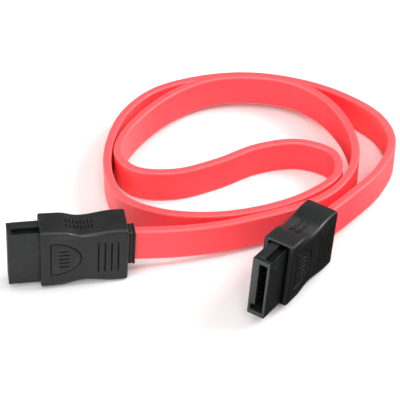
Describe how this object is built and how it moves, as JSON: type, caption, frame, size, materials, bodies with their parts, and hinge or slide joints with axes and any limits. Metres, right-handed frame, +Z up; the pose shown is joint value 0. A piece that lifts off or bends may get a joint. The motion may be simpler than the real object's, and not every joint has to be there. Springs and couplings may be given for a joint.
{
  "type": "serial data cable",
  "caption": "Flat red serial data cable laid on edge in a loose double spiral, with a black moulded plug at each end.",
  "frame": {"origin": "on the floor under the middle of the box round the two plugs", "axes": "+Z up from the floor, +X from the left plug to the right one, +Y toward the cable's loops"},
  "size_m": [0.0907, 0.0831, 0.0181],
  "materials": {
    "jacket": "satin",
    "hood": "satin",
    "strain_relief": "satin",
    "housing": "satin",
    "contact": "polished",
    "conductor": "satin"
  },
  "bodies": {
    "root": {"flat_cable": "jacket", "left_hood": "hood", "left_strain_relief": "strain_relief", "left_housing": "housing", "left_contact_1": "contact", "left_contact_2": "contact", "left_contact_3": "contact", "left_contact_4": "contact", "left_contact_5": "contact", "left_contact_6": "contact", "left_contact_7": "contact", "left_conductor_1": "conductor", "left_conductor_2": "conductor", "left_conductor_3": "conductor", "left_conductor_4": "conductor", "left_conductor_5": "conductor", "left_conductor_6": "conductor", "left_conductor_7": "conductor", "right_hood": "hood", "right_strain_relief": "strain_relief", "right_housing": "housing", "right_contact_1": "contact", "right_contact_2": "contact", "right_contact_3": "contact", "right_contact_4": "contact", "right_contact_5": "contact", "right_contact_6": "contact", "right_contact_7": "contact", "right_conductor_1": "conductor", "right_conductor_2": "conductor", "right_conductor_3": "conductor", "right_conductor_4": "conductor", "right_conductor_5": "conductor", "right_conductor_6": "conductor", "right_conductor_7": "conductor"}
  },
  "joints": []
}
